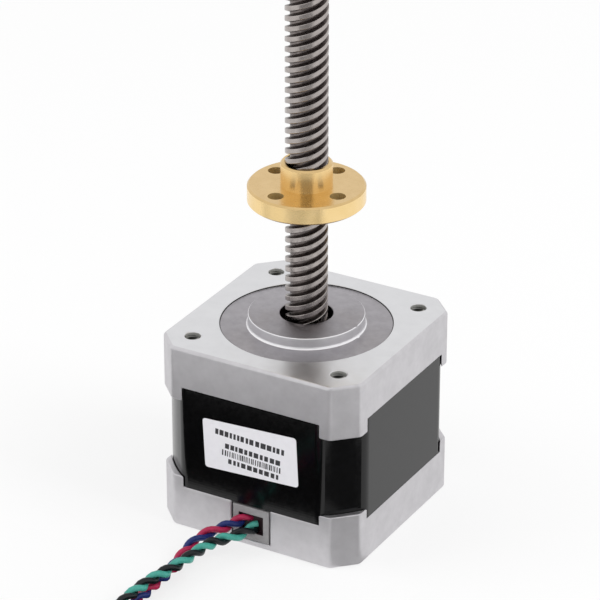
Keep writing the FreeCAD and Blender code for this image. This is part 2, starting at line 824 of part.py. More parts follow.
def pin_circles(sketch):
    for angle in PIN_ANGLES:
        x = f"{PIN_CIRCLE} * cos({angle} deg)"
        y = f"{PIN_CIRCLE} * sin({angle} deg)"
        circle(sketch, "Sizes.pin_diameter", x, y)


def terminal_board():
    """A sector of circuit board under the winding ends, where leads and windings are joined."""
    body = new_body("terminal_board")
    underside = f"{BOARD_TOP} - Sizes.board_thickness"
    sketch = sketch_on(body, "XY_Plane", underside)
    circle(sketch, f"2 * {GUARD_OUTER}")
    circle(sketch, "Sizes.hub_diameter + 2 * Sizes.board_hub_gap")
    pad(body, sketch, "Sizes.board_thickness")
    reach = f"({GUARD_OUTER} * 2)"
    side = f"({reach} * tan(Sizes.board_half_angle * 1 deg))"
    away = sketch_on(body, "XY_Plane", underside)
    outline(
        away,
        [
            ("0", "0"),
            (side, f"-{reach}"),
            (f"{reach} * 2", f"-{reach}"),
            (f"{reach} * 2", reach),
            (f"-{reach} * 2", reach),
            (f"-{reach} * 2", f"-{reach}"),
            (f"-({side})", f"-{reach}"),
        ],
    )
    cut(body, away, "Sizes.board_thickness", True)
    holes = sketch_on(body, "XY_Plane", underside)
    pin_circles(holes)
    cut(body, holes, "Sizes.board_thickness", True)
    return body


def terminal_pins():
    """Four posts that stand in the board and bear on the rear insulator's guard ring."""
    body = new_body("terminal_pins")
    sketch = sketch_on(body, "XY_Plane", GUARD_LOW)
    pin_circles(sketch)
    length = "Sizes.board_drop + Sizes.board_thickness + Sizes.pin_stand"
    pad(body, sketch, length, True)
    return body


def rating_label():
    """A sticker with rounded corners on the stator's front side, stuck on a little askew."""
    body = new_body("rating_label")
    sketch = sketch_on(body, "XZ_Plane", f"{STATOR_SIDE} / 2")
    sketch.setExpression("AttachmentOffset.Base.y", "Sizes.label_centre")
    sketch.setExpression("AttachmentOffset.Rotation.Angle", "Sizes.label_tilt * 1 deg")
    half_width = "Sizes.label_width / 2"
    half_height = "Sizes.label_height / 2"
    rectangle(sketch, f"-{half_width}", half_width, f"-{half_height}", half_height)
    sheet_pad = pad(body, sketch, "Sizes.label_thickness")

    def corner(edge):
        return abs(edge.Vertexes[0].Y - edge.Vertexes[-1].Y) > size("label_thickness") / 2

    round_edges(body, sheet_pad, corner, "Sizes.label_corner")
    return body


def lead_route():
    """The leads from the bush's mouth to the coil, as points chosen by eye along the photo's curve."""
    mouth_y = size("bush_set_back") + size("bush_mouth_depth") - size("frame_side") / 2
    mouth_z = size("notch_floor") + size("bush_mouth_floor") + size("bush_mouth_height") / 2
    low = size("lead_diameter") / 2
    return [
        Vector(0.4, mouth_y, mouth_z),
        Vector(0.4, -24.0, mouth_z),
        Vector(-1.7, -28.7, 4.7),
        Vector(-4.5, -33.3, 3.3),
        Vector(-6.4, -39.0, low + 0.2),
        Vector(-6.9, -45.5, low),
        Vector(-6.6, -53.0, low),
        Vector(-5.6, -61.5, low + 0.1),
        Vector(-5.5, -69.2, low + size("band_thickness")),
    ]


def lead_bundle():
    """The stretch of leads that isn't coiled, as a tube of straight runs and tangent arcs."""
    points = lead_route()
    share = 0.45
    edges = []
    start = points[0]
    radii = []
    for before, corner, after in zip(points, points[1:], points[2:]):
        back = before - corner
        ahead = after - corner
        reach = share * min(back.Length, ahead.Length)
        back.normalize()
        ahead.normalize()
        turn = math.pi - back.getAngle(ahead)
        radius = reach / math.tan(turn / 2)
        radii.append(round(radius, 1))
        enter = corner + back * reach
        leave = corner + ahead * reach
        inward = (back + ahead).normalize()
        middle = corner + inward * (radius / math.cos(turn / 2) - radius)
        edges.append(Part.LineSegment(start, enter).toShape())
        edges.append(Part.Arc(enter, middle, leave).toShape())
        start = leave
    edges.append(Part.LineSegment(start, points[-1]).toShape())
    path = Part.Wire(edges)
    first_way = points[1] - points[0]
    ring = Part.Circle(points[0], first_way, size("lead_diameter") / 2).toShape()
    feature = doc.addObject("Part::Feature", "lead_bundle")
    feature.Label = "lead_bundle"
    feature.Shape = path.makePipeShell([Part.Wire(ring)], True, False)
    section = math.pi * size("lead_diameter") ** 2 / 4
    print("lead tube: radii", radii, "length", round(path.Length, 2))
    print("lead tube: volume over section times length", feature.Shape.Volume / section / path.Length)
    return feature


def lead_coil():
    """The outer shape of the leads' put-away length, wound flat."""
    body = new_body("lead_coil")
    low = "Sizes.band_thickness"
    inner, outer, top = LEAD_COIL_INNER, LEAD_COIL_OUTER, LEAD_COIL_TOP
    revolve(body, [(inner, low), (outer, low), (outer, top), (inner, top)])
    body.Placement.Base = Vector(*LEAD_COIL_CENTRE, 0)
    return body


def lead_tie():
    """The band that holds the coil's turns together."""
    body = new_body("lead_tie")
    sketch = sketch_on(body, "XZ_Plane", "-Sizes.band_width / 2")
    near = f"(sqrt(pow({LEAD_COIL_INNER}; 2) - pow(Sizes.band_width / 2; 2)) - Sizes.band_clearance)"
    far = f"({LEAD_COIL_OUTER} + Sizes.band_clearance)"
    thick = "Sizes.band_thickness"
    rectangle(sketch, f"{near} - {thick}", f"{far} + {thick}", "0", f"{LEAD_COIL_TOP} + {thick}")
    rectangle(sketch, near, far, thick, LEAD_COIL_TOP)
    pad(body, sketch, "Sizes.band_width")
    turned = Rotation(Vector(0, 0, 1), BAND_ANGLE)
    body.Placement = Placement(Vector(*LEAD_COIL_CENTRE, 0), turned)
    return body


front_end_cap()
rear_end_cap()
tie_screws()
stator_core()
insulator("front_insulator", STACK_TOP, False)
insulator("rear_insulator", STACK_LOW, True)
coils("phase_a_coils", 0)
coils("phase_b_coils", 1)
bearing("front", FRONT_BEARING_LOW)
bearing("rear", REAR_BEARING_LOW)
wave_washer()
rotor_stack()
spacer("front_spacer", ROTOR_TOP, FRONT_BEARING_LOW)
spacer("rear_spacer", REAR_BEARING_TOP, ROTOR_LOW)
lead_screw()
travelling_nut()
lead_exit_bush()
terminal_board()
terminal_pins()
rating_label()
lead_bundle()
lead_coil()
lead_tie()
doc.recompute()

subparts = [o for o in doc.Objects if o.TypeId in ("PartDesign::Body", "Part::Feature")]
for item in doc.Objects:
    if "Invalid" in item.State or "Error" in item.State:
        raise RuntimeError(f"{item.Label} did not build: {item.State}")
os.makedirs("parts", exist_ok=True)
for item in subparts:
    if item.Shape.isNull() or not item.Shape.isValid():
        raise RuntimeError(f"{item.Label} has no valid shape")
    item.Shape.exportStep(f"parts/{item.Label}.step")
    print(item.Label, len(item.Shape.Solids), round(item.Shape.Volume, 2))
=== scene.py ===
import json
import math
import random

import bmesh
import bpy
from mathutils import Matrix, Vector

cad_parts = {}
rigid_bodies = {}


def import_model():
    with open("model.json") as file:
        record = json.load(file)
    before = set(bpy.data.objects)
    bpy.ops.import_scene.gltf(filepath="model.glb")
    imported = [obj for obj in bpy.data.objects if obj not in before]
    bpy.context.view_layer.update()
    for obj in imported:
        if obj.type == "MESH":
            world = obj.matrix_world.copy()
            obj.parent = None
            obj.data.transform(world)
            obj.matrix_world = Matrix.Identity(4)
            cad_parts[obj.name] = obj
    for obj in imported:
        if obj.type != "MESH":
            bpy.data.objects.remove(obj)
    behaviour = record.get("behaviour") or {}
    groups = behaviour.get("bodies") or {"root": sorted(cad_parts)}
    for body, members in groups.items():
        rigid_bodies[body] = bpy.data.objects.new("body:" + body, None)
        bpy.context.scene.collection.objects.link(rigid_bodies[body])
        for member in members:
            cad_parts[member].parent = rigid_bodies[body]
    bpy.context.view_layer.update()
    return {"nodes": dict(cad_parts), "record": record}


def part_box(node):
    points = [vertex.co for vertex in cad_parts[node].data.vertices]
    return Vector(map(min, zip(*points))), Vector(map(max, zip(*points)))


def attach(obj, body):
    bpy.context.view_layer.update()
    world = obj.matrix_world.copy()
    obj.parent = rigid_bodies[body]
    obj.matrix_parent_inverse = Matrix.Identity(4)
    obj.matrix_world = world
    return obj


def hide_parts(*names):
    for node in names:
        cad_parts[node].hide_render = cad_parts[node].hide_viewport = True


for default in list(bpy.data.objects):
    bpy.data.objects.remove(default)

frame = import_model()

# A lead screw stepper motor on a pale studio floor, in the CAD frame: Z runs up along the screw, and
# the label and the leads are on the -Y side. Lengths are in metres, or in millimetres where a comment
# says so.
MM = 0.001
UP = Vector((0, 0, 1))
nodes = frame["nodes"]
mounts = {mount["name"]: mount for mount in frame["record"]["mounts"]}

# The height of the front cap's mounting face.
FACE_HEIGHT = mounts["mounting_face"]["pos_m"][2]


# Materials


# At a scale of 1, Blender's wave texture runs through this many radians in a metre.
WAVE_RADIANS = 20
# The Mix node's sockets for two colours, and for what comes out.
MIX_FIRST, MIX_SECOND, MIX_RESULT = 6, 7, 2


class Finish:
    """A procedural material round one Principled shader, with helpers for its textures."""

    def __init__(self, name, colour, metallic=0.0, roughness=0.5, **sockets):
        self.material = bpy.data.materials.new(name)
        self.material.use_nodes = True
        self.tree = self.material.node_tree
        self.bsdf = self.tree.nodes["Principled BSDF"]
        self.colour = (*colour, 1.0)
        self.set(self.bsdf, "Base Color", self.colour)
        self.set(self.bsdf, "Metallic", metallic)
        self.set(self.bsdf, "Roughness", roughness)
        for socket, value in sockets.items():
            self.set(self.bsdf, socket.replace("_", " "), value)
        self.place = self.node("ShaderNodeTexCoord").outputs["Object"]
        self.normal = None

    def node(self, kind, **values):
        made = self.tree.nodes.new(kind)
        for name, value in values.items():
            setattr(made, name, value)
        return made

    def set(self, node, socket, value):
        node.inputs[socket].default_value = value

    def link(self, output, node, socket):
        self.tree.links.new(output, node.inputs[socket])

    def stretched(self, scale):
        mapping = self.node("ShaderNodeMapping")
        self.link(self.place, mapping, "Vector")
        self.set(mapping, "Scale", scale)
        return mapping.outputs["Vector"]

    def noise(self, scale, detail=3.0, stretch=(1, 1, 1)):
        texture = self.node("ShaderNodeTexNoise")
        self.link(self.stretched(stretch), texture, "Vector")
        self.set(texture, "Scale", scale)
        self.set(texture, "Detail", detail)
        return texture.outputs["Fac"]

    def waves(self, period, kind="BANDS", direction="Z", distortion=0.0):
        """Parallel or ringed grooves, one period apart."""
        texture = self.node("ShaderNodeTexWave", wave_type=kind)
        setattr(texture, "bands_direction" if kind == "BANDS" else "rings_direction", direction)
        self.link(self.place, texture, "Vector")
        self.set(texture, "Scale", 2 * math.pi / WAVE_RADIANS / period)
        self.set(texture, "Distortion", distortion)
        return texture.outputs["Fac"]

    def height(self):
        """How high a point is, in the CAD frame."""
        parts = self.node("ShaderNodeSeparateXYZ")
        self.link(self.place, parts, "Vector")
        return parts.outputs["Z"]

    def turned(self):
        """Grooves that run round the Z axis, as a lathe leaves them."""
        tangent = self.node("ShaderNodeTangent", direction_type="RADIAL", axis="Z")
        self.link(tangent.outputs["Tangent"], self.bsdf, "Tangent")
        return self

    def range(self, value, low, high, start=0.3, end=0.7):
        """A value from start to end, the middle of a texture's values, spread from low to high."""
        spread = self.node("ShaderNodeMapRange")
        self.link(value, spread, "Value")
        self.set(spread, "From Min", start)
        self.set(spread, "From Max", end)
        self.set(spread, "To Min", low)
        self.set(spread, "To Max", high)
        return spread.outputs["Result"]

    def mottle(self, value, other, *limits):
        """The base colour drifts to another one where the value is high."""
        mix = self.node("ShaderNodeMix", data_type="RGBA")
        self.link(self.range(value, 0.0, 1.0, *limits), mix, "Factor")
        self.set(mix, MIX_FIRST, self.colour)
        self.set(mix, MIX_SECOND, (*other, 1.0))
        self.link(mix.outputs[MIX_RESULT], self.bsdf, "Base Color")
        return self

    def wear(self, value, low, high):
        self.link(self.range(value, low, high), self.bsdf, "Roughness")
        return self

    def bump(self, value, height, strength=0.5):
        bump = self.node("ShaderNodeBump")
        self.set(bump, "Strength", strength)
        self.set(bump, "Distance", height)
        self.link(value, bump, "Height")
        if self.normal is not None:
            self.link(self.normal, bump, "Normal")
        self.normal = bump.outputs["Normal"]
        self.link(self.normal, self.bsdf, "Normal")
        return self


def cast_aluminium():
    f = Finish("cast_aluminium", (0.66, 0.647, 0.667), 1.0, 0.48)
    f.mottle(f.noise(350, 4), (0.60, 0.588, 0.607))
    f.wear(f.noise(900, 4), 0.42, 0.54)
    f.bump(f.noise(2600, 3), 0.02 * MM, 0.25)
    return f.bump(f.noise(240, 2, (0.2, 0.2, 6.0)), 0.03 * MM, 0.15)


def machined_aluminium():
    f = Finish("machined_aluminium", (0.70, 0.70, 0.715), 1.0, 0.30)
    f.mottle(f.noise(300, 4), (0.67, 0.67, 0.685))
    return f.wear(f.noise(700, 4), 0.28, 0.38)


def turned_aluminium():
    f = Finish("turned_aluminium", (0.415, 0.398, 0.42), 1.0, 0.42, Anisotropic=0.75).turned()
    f.mottle(f.noise(500, 3), (0.365, 0.35, 0.37))
    f.wear(f.noise(1500, 3), 0.36, 0.48)
    return f.bump(f.waves(0.16 * MM, "RINGS", "Z"), 0.003 * MM, 0.2)


def pilot_aluminium():
    f = Finish("pilot_aluminium", (0.92, 0.915, 0.93), 1.0, 0.42)
    return f.mottle(f.noise(700, 3), (0.88, 0.875, 0.89))


# Heights between which the painted shade in the mounting holes fades, from dark below to bright above.
TAPPED_DARK = FACE_HEIGHT - 1.1 * MM
TAPPED_BRIGHT = FACE_HEIGHT - 0.6 * MM


def tapped_aluminium_painted_shade():
    """Bright at a hole's mouth and painted darker further down, as shade in the hole."""
    f = Finish("tapped_aluminium_painted_shade", (0.02, 0.02, 0.018), 0.2, 0.45)
    return f.mottle(f.height(), (0.42, 0.42, 0.40), TAPPED_DARK, TAPPED_BRIGHT)


def black_laminations():
    f = Finish("black_laminations", (0.0012, 0.0012, 0.0014), 0.0, 0.2, IOR=1.42)
    f.mottle(f.noise(700, 4), (0.0024, 0.0024, 0.0028))
    f.wear(f.noise(1200, 3), 0.10, 0.18)
    return f.bump(f.waves(0.5 * MM), 0.006 * MM, 0.2)


def screw_steel():
    f = Finish("screw_steel", (0.47, 0.43, 0.41), 1.0, 0.27)
    f.mottle(f.noise(900, 4), (0.38, 0.345, 0.33))
    f.wear(f.noise(1600, 4), 0.20, 0.36)
    return f.bump(f.noise(5200, 2), 0.01 * MM, 0.25)


# Darker steel for the thread's flanks and roots: partly oil in the grooves, partly painted shade.
def thread_root_oil_and_shade():
    f = Finish("thread_root_oil_and_shade", (0.24, 0.21, 0.20), 1.0, 0.34)
    f.mottle(f.noise(1100, 4), (0.16, 0.14, 0.135))
    return f.wear(f.noise(1600, 4), 0.26, 0.44)


def brass_nut():
    f = Finish("brass_nut", (0.71, 0.505, 0.245), 1.0, 0.26)
    f.mottle(f.noise(420, 3), (0.66, 0.46, 0.21))
    f.wear(f.noise(1400, 3), 0.18, 0.28)
    return f.bump(f.waves(0.22 * MM, "RINGS", "Z"), 0.002 * MM, 0.15)


def turned_brass():
    lathe = {"Anisotropic": 0.8, "Anisotropic_Rotation": 0.25}
    f = Finish("turned_brass", (0.94, 0.70, 0.35), 1.0, 0.26, **lathe).turned()
    return f.mottle(f.noise(420, 3), (0.90, 0.66, 0.31))


def brass_bore():
    f = Finish("brass_bore", (0.54, 0.39, 0.17), 0.4, 0.5)
    return f.mottle(f.noise(1400, 3), (0.45, 0.32, 0.13))


def bearing_steel():
    f = Finish("bearing_steel", (0.56, 0.56, 0.575), 1.0, 0.24)
    f.wear(f.noise(1500, 3), 0.18, 0.32)
    return f.bump(f.waves(0.12 * MM, "RINGS", "Z"), 0.003 * MM, 0.25)


# Dark steel for the bearings' shields, also used as painted shade on the front cap's recess wall and
# opening.
def bearing_seal_and_shade():
    f = Finish("bearing_seal_and_shade", (0.035, 0.034, 0.034), 1.0, 0.45)
    f.mottle(f.noise(900, 3), (0.022, 0.021, 0.021))
    return f.bump(f.waves(0.3 * MM, "RINGS", "Z"), 0.006 * MM, 0.3)


def moulded_insulator():
    f = Finish("moulded_insulator", (0.72, 0.68, 0.57), 0.0, 0.5)
    f.mottle(f.noise(600, 3), (0.66, 0.62, 0.51))
    return f.bump(f.noise(3000, 2), 0.02 * MM, 0.2)


def copper_winding():
    f = Finish("copper_winding", (0.62, 0.25, 0.10), 1.0, 0.3)
    f.mottle(f.noise(900, 3), (0.50, 0.19, 0.07))
    return f.bump(f.waves(0.32 * MM, "BANDS", "DIAGONAL"), 0.08 * MM, 0.7)


def fastener_steel():
    f = Finish("fastener_steel", (0.55, 0.55, 0.57), 1.0, 0.32)
    f.mottle(f.noise(800, 3), (0.48, 0.48, 0.50))
    return f.wear(f.noise(1700, 3), 0.25, 0.40)


def rotor_steel():
    f = Finish("rotor_steel", (0.33, 0.33, 0.345), 1.0, 0.38)
    f.mottle(f.noise(700, 3), (0.27, 0.27, 0.28))
    return f.bump(f.waves(0.5 * MM), 0.02 * MM, 0.5)


def rotor_magnet():
    f = Finish("rotor_magnet", (0.22, 0.22, 0.235), 1.0, 0.34)
    f.mottle(f.noise(600, 3), (0.18, 0.18, 0.19))
    return f.wear(f.noise(1500, 3), 0.28, 0.42)


def exit_plastic():
    f = Finish("exit_plastic", (0.36, 0.35, 0.355), 0.0, 0.45)
    f.mottle(f.noise(900, 3), (0.31, 0.30, 0.305))
    return f.bump(f.noise(3500, 2), 0.02 * MM, 0.25)


# Painted shade for the inside of the bush's mouth: near black, tinted a little red.
def exit_mouth_painted_shade():
    f = Finish("exit_mouth_painted_shade", (0.022, 0.010, 0.013), 0.0, 0.55)
    return f.mottle(f.noise(1200, 3), (0.034, 0.014, 0.018))


def circuit_board():
    f = Finish("circuit_board", (0.02, 0.12, 0.05), 0.0, 0.35)
    f.mottle(f.noise(1500, 2), (0.03, 0.16, 0.07))
    return f.bump(f.noise(2500, 2), 0.01 * MM, 0.3)


def pin_brass():
    f = Finish("pin_brass", (0.66, 0.60, 0.45), 1.0, 0.28)
    return f.wear(f.noise(3000, 2), 0.2, 0.36)


def label_paper():
    f = Finish("label_paper", (0.90, 0.89, 0.93), 0.0, 0.42)
    f.mottle(f.noise(900, 3), (0.87, 0.86, 0.90))
    return f.bump(f.noise(2500, 3), 0.01 * MM, 0.2)


def label_ink():
    f = Finish("label_ink", (0.016, 0.015, 0.018), 0.0, 0.5)
    return f.mottle(f.noise(4000, 3), (0.06, 0.058, 0.065))


def lead_covering(name, colour, other):
    f = Finish(name, colour, 0.0, 0.3, Coat_Weight=0.04, IOR=1.38)
    f.mottle(f.noise(1200, 3), other)
    f.wear(f.noise(2000, 2), 0.24, 0.38)
    return f.bump(f.noise(4000, 2), 0.01 * MM, 0.2)


def tinned_wire():
    f = Finish("tinned_wire", (0.62, 0.62, 0.63), 1.0, 0.3)
    return f.bump(f.waves(0.25 * MM, "BANDS", "DIAGONAL"), 0.05 * MM, 0.6)


def tie_band():
    f = Finish("tie_band", (0.012, 0.012, 0.013), 0.0, 0.5)
    return f.bump(f.noise(3000, 2), 0.02 * MM, 0.3)


def dress(node, *finishes):
    """Gives a CAD node its finishes, which its faces choose by number."""
    data = nodes[node].data
    data.materials.clear()
    for finish in finishes:
        data.materials.append(finish.material)


aluminium = cast_aluminium()
machined = machined_aluminium()
turned = turned_aluminium()
tapped = tapped_aluminium_painted_shade()
steel = screw_steel()
bearing = bearing_steel()
seal_and_shade = bearing_seal_and_shade()
insulation = moulded_insulator()
copper = copper_winding()
zinc = fastener_steel()
core = rotor_steel()

for node, finish in {
    "rear_end_cap": aluminium,
    "stator_core": black_laminations(),
    "front_insulator": insulation,
    "rear_insulator": insulation,
    "phase_a_coils": copper,
    "phase_b_coils": copper,
    "tie_screws": zinc,
    "wave_washer": zinc,
    "front_spacer": zinc,
    "rear_spacer": zinc,
    "front_bearing_outer_ring": bearing,
    "front_bearing_inner_ring": bearing,
    "front_bearing_shields": seal_and_shade,
    "rear_bearing_outer_ring": bearing,
    "rear_bearing_inner_ring": bearing,
    "rear_bearing_shields": seal_and_shade,
    "front_rotor_core": core,
    "rear_rotor_core": core,
    "rotor_magnet": rotor_magnet(),
    "terminal_board": circuit_board(),
    "terminal_pins": pin_brass(),
    "rating_label": label_paper(),
}.items():
    dress(node, finish)

# A face is level or upright where its normal's Z is above or below these values.
LEVEL = 0.9
UPRIGHT = 0.3

# The front cap is cast, and its mounting face is machined. The pilot's top and the shallow recess round
# it are turned, and the pilot's side is bright. The recess's wall and the screw's opening have painted
# shade, a dark finish in place of their shadow, and the mounting holes have painted shade that deepens
# downward.
bolts = mounts["mounting_holes"]["dims"]
RECESS_RADIUS = 16.35 * MM
RECESS_FLOOR = FACE_HEIGHT - 0.45 * MM
PILOT_REACH = 12.0 * MM
OPENING_RADIUS = 5.1 * MM
HOLE_OFFSET = bolts["spacing_x_mm"] / 2 * MM
HOLE_RADIUS = bolts["hole_r_mm"] * MM
HOLE_FLOOR = FACE_HEIGHT - 4.5 * MM
HOLE_MARGIN = 1.0 * MM
CAST, MACHINED, TURNED, PAINTED_SHADE, TAPPED, PILOT = range(6)


def front_cap_finish(middle, normal):
    """Which finish a face of the front cap has, by its middle and its normal."""
    reach = math.hypot(middle.x, middle.y)
    from_hole = math.hypot(abs(middle.x) - HOLE_OFFSET, abs(middle.y) - HOLE_OFFSET)
    in_hole = from_hole < HOLE_RADIUS and middle.z > HOLE_FLOOR - HOLE_MARGIN
    on_top = middle.z > RECESS_FLOOR
    level = normal.z > LEVEL
    if in_hole and not (level and on_top):
        return TAPPED
    if not on_top:
        return CAST
    # The opening's wall and the recess's wall get the dark finish as painted shade.
    if reach < OPENING_RADIUS and abs(normal.z) < UPRIGHT:
        return PAINTED_SHADE
    if reach > RECESS_RADIUS:
        return MACHINED if level else CAST
    if level:
        return TURNED
    return PILOT if reach < PILOT_REACH else PAINTED_SHADE


dress("front_end_cap", aluminium, machined, turned, seal_and_shade, tapped, pilot_aluminium())
for face in nodes["front_end_cap"].data.polygons:
    face.material_index = front_cap_finish(face.center, face.normal)


# The nut's flat faces are milled, its round sides are turned bright, and its holes are dull inside.
NUT_HOLE_CIRCLE = mounts["nut_holes"]["dims"]["pcd_mm"] / 2 * MM
NUT_HOLE_REACH = 2.0 * MM
FLAT, ROUND, BORE = range(3)
dress("travelling_nut", brass_nut(), turned_brass(), brass_bore())
for face in nodes["travelling_nut"].data.polygons:
    finish = FLAT
    if abs(face.normal.z) < UPRIGHT:
        reach = math.hypot(face.center.x, face.center.y)
        finish = BORE if abs(reach - NUT_HOLE_CIRCLE) < NUT_HOLE_REACH else ROUND
    face.material_index = finish


# The bush is pale, and the inside of the mouth that the leads come out of is painted dark reddish, as
# shade.
MOUTH_HALF = 2.65 * MM
MOUTH_LOW = 2.95 * MM
MOUTH_TOP = 6.85 * MM
MOUTH_FRONT = -21.0 * MM
MOUTH_BACK = -19.5 * MM
dress("lead_exit_bush", exit_plastic(), exit_mouth_painted_shade())
for face in nodes["lead_exit_bush"].data.polygons:
    middle = face.center
    inside = abs(middle.x) < MOUTH_HALF and MOUTH_LOW < middle.z < MOUTH_TOP
    face.material_index = int(inside and MOUTH_FRONT < middle.y < MOUTH_BACK)


CAP_EDGE = 0.22 * MM
BUSH_EDGE = 0.10 * MM
JOIN_WITHIN = 0.002 * MM
FLAT_WITHIN = math.radians(0.5)
SHARP_ABOVE = math.radians(28)
NORMAL_WEIGHT = 60


def soften(node, width, segments):
    """Worn edges on a CAD node: its split vertices and flat faces are joined, then edges rounded."""
    weld = nodes[node].modifiers.new("join", "WELD")
    weld.merge_threshold = JOIN_WITHIN
    level = nodes[node].modifiers.new("level", "DECIMATE")
    level.decimate_type = "DISSOLVE"
    level.angle_limit = FLAT_WITHIN
    bevel = nodes[node].modifiers.new("edges", "BEVEL")
    bevel.width = width
    bevel.segments = segments
    bevel.limit_method = "ANGLE"
    bevel.angle_limit = SHARP_ABOVE
    bevel.use_clamp_overlap = False
    shading = nodes[node].modifiers.new("shading", "WEIGHTED_NORMAL")
    shading.mode = "FACE_AREA"
    shading.weight = NORMAL_WEIGHT


soften("front_end_cap", CAP_EDGE, segments=3)
soften("rear_end_cap", CAP_EDGE, segments=3)
soften("lead_exit_bush", BUSH_EDGE, segments=2)


# Pieces


def add_mesh(name, body, slot, build, *finishes, smooth_angle=35):
    """A mesh object whose faces build() puts into a bmesh, riding on a body."""
    shape = bmesh.new()
    build(shape)
    bmesh.ops.recalc_face_normals(shape, faces=shape.faces)
    data = bpy.data.meshes.new(name)
    shape.to_mesh(data)
    shape.free()
    for finish in finishes:
        data.materials.append(finish.material)
    data.shade_smooth()
    data.set_sharp_from_angle(angle=math.radians(smooth_angle))
    piece = bpy.data.objects.new(name, data)
    bpy.context.scene.collection.objects.link(piece)
    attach(piece, body)
    return piece


def join_rings(shape, low, high, material=0):
    """A band of faces between two closed rings of vertices with the same count."""
    count = len(low)
    for i in range(count):
        j = (i + 1) % count
        shape.faces.new((low[i], low[j], high[j], high[i])).material_index = material


def ring_strip(shape, rings, closed_ends=True, material=0):
    """A tube through rings of points, all with the same count."""
    rows = [[shape.verts.new(point) for point in ring] for ring in rings]
    for low, high in zip(rows, rows[1:]):
        join_rings(shape, low, high, material)
    if closed_ends:
        shape.faces.new(rows[0][::-1]).material_index = material
        shape.faces.new(rows[-1]).material_index = material
    return rows


def circle_points(radius, z, count):
    steps = [2 * math.pi * i / count for i in range(count)]
    return [(radius * math.cos(a), radius * math.sin(a), z) for a in steps]


# Lead screw: four starts of a right-hand trapezoidal thread on the shaft that the rotor turns.
shaft_bottom, shaft_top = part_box("lead_screw")
SCREW_LOW = FACE_HEIGHT
SCREW_TOP = shaft_top.z
SCREW_RADIUS = shaft_top.x
THREAD_PITCH = 2.0 * MM
THREAD_LEAD = 8.0 * MM
THREAD_DEPTH = 0.95 * MM
SCREW_CHAMFER = 0.9 * MM
SHAFT_LOW = shaft_bottom.z
SHAFT_RADIUS = 2.5 * MM
SHAFT_CHAMFER = 0.4 * MM
SHAFT_SIDES = 64
SCREW_STEPS = 96
# Turns past the screw's ends, which are cut off.
SPARE_TURNS = 6

# One pitch of the thread's profile: share of the pitch, share of the depth.
THREAD_PROFILE = (
    (0.00, 0.06),
    (0.05, 0.00),
    (0.42, 0.00),
    (0.47, 0.06),
    (0.60, 0.92),
    (0.65, 1.00),
    (0.82, 1.00),
    (0.87, 0.92),
)
# The profile's first strips are the crest, which has the first finish, and the rest the second: darker
# steel in the flanks and roots, partly oil and partly painted shade in the grooves.
CREST_STRIPS = 3
SAME_POINT = 0.001 * MM


def screw_radius(z, depth):
    """The thread's radius at a height, inside the end's chamfer."""
    radius = SCREW_RADIUS - THREAD_DEPTH * depth
    return min(radius, SCREW_RADIUS - max(0.0, z - (SCREW_TOP - SCREW_CHAMFER)))


def thread(shape, first, pitch, lead, turns, profile, radius_at, steps, centre=(0.0, 0.0)):
    """Helical rows of one turn, stacked by the pitch, at the profile's shares of it and depths."""
    rows = []
    for k in range(turns):
        for share, depth in profile:
            row = []
            for i in range(steps + 1):
                angle = 2 * math.pi * i / steps
                z = first + pitch * (k + share) + lead * i / steps
                radius = radius_at(z, depth)
                x = centre[0] + radius * math.cos(angle)
                y = centre[1] + radius * math.sin(angle)
                row.append(shape.verts.new((x, y, z)))
            rows.append(row)
    for number, (low, high) in enumerate(zip(rows, rows[1:])):
        for i in range(steps):
            face = shape.faces.new((low[i], low[i + 1], high[i + 1], high[i]))
            face.material_index = int(number % len(profile) >= CREST_STRIPS)
    # A row's end meets the beginning of the row one lead further up.
    bmesh.ops.remove_doubles(shape, verts=shape.verts, dist=SAME_POINT)


def build_screw(shape):
    turns = round((SCREW_TOP - SCREW_LOW) / THREAD_PITCH) + SPARE_TURNS
    first = SCREW_LOW - THREAD_LEAD - THREAD_PITCH
    thread(shape, first, THREAD_PITCH, THREAD_LEAD, turns, THREAD_PROFILE, screw_radius, SCREW_STEPS)
    for height, up in ((SCREW_LOW, -1), (SCREW_TOP, 1)):
        geometry = shape.verts[:] + shape.edges[:] + shape.faces[:]
        cut = bmesh.ops.bisect_plane(
            shape, geom=geometry, plane_co=(0, 0, height), plane_no=(0, 0, up), clear_outer=True
        )
        rim = [e for e in cut["geom_cut"] if isinstance(e, bmesh.types.BMEdge)]
        bmesh.ops.contextual_create(shape, geom=rim)
    shaft = (
        (SHAFT_RADIUS - SHAFT_CHAMFER, SHAFT_LOW),
        (SHAFT_RADIUS, SHAFT_LOW + SHAFT_CHAMFER),
        (SHAFT_RADIUS, SCREW_LOW),
    )
    ring_strip(shape, [circle_points(r, z, SHAFT_SIDES) for r, z in shaft])


root = thread_root_oil_and_shade()
screw = add_mesh("lead_screw_thread", "rotor", "screw_steel", build_screw, steel, root, smooth_angle=30)
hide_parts("lead_screw")


# Mounting holes: the turns of their threads, which end a little below HOLE_TOP.
HOLE_PITCH = 0.5 * MM
HOLE_STEPS = 32
HOLE_CORE = 1.24 * MM
HOLE_WALL = 1.48 * MM
HOLE_TOP = FACE_HEIGHT + 0.15 * MM
HOLE_PROFILE = ((0.0, 1.0), (0.4, 0.0), (0.6, 0.0))


def hole_radius(_, depth):
    """The thread's radius, the same at any height."""
    return HOLE_CORE + (HOLE_WALL - HOLE_CORE) * depth


def build_hole_threads(shape):
    turns = int((HOLE_TOP - HOLE_FLOOR) / HOLE_PITCH) - 1
    first = HOLE_TOP - HOLE_PITCH * (turns + 1)
    for x in (-HOLE_OFFSET, HOLE_OFFSET):
        for y in (-HOLE_OFFSET, HOLE_OFFSET):
            centre = x, y
            sizes = first, HOLE_PITCH, HOLE_PITCH, turns
            thread(shape, *sizes, HOLE_PROFILE, hole_radius, HOLE_STEPS, centre)


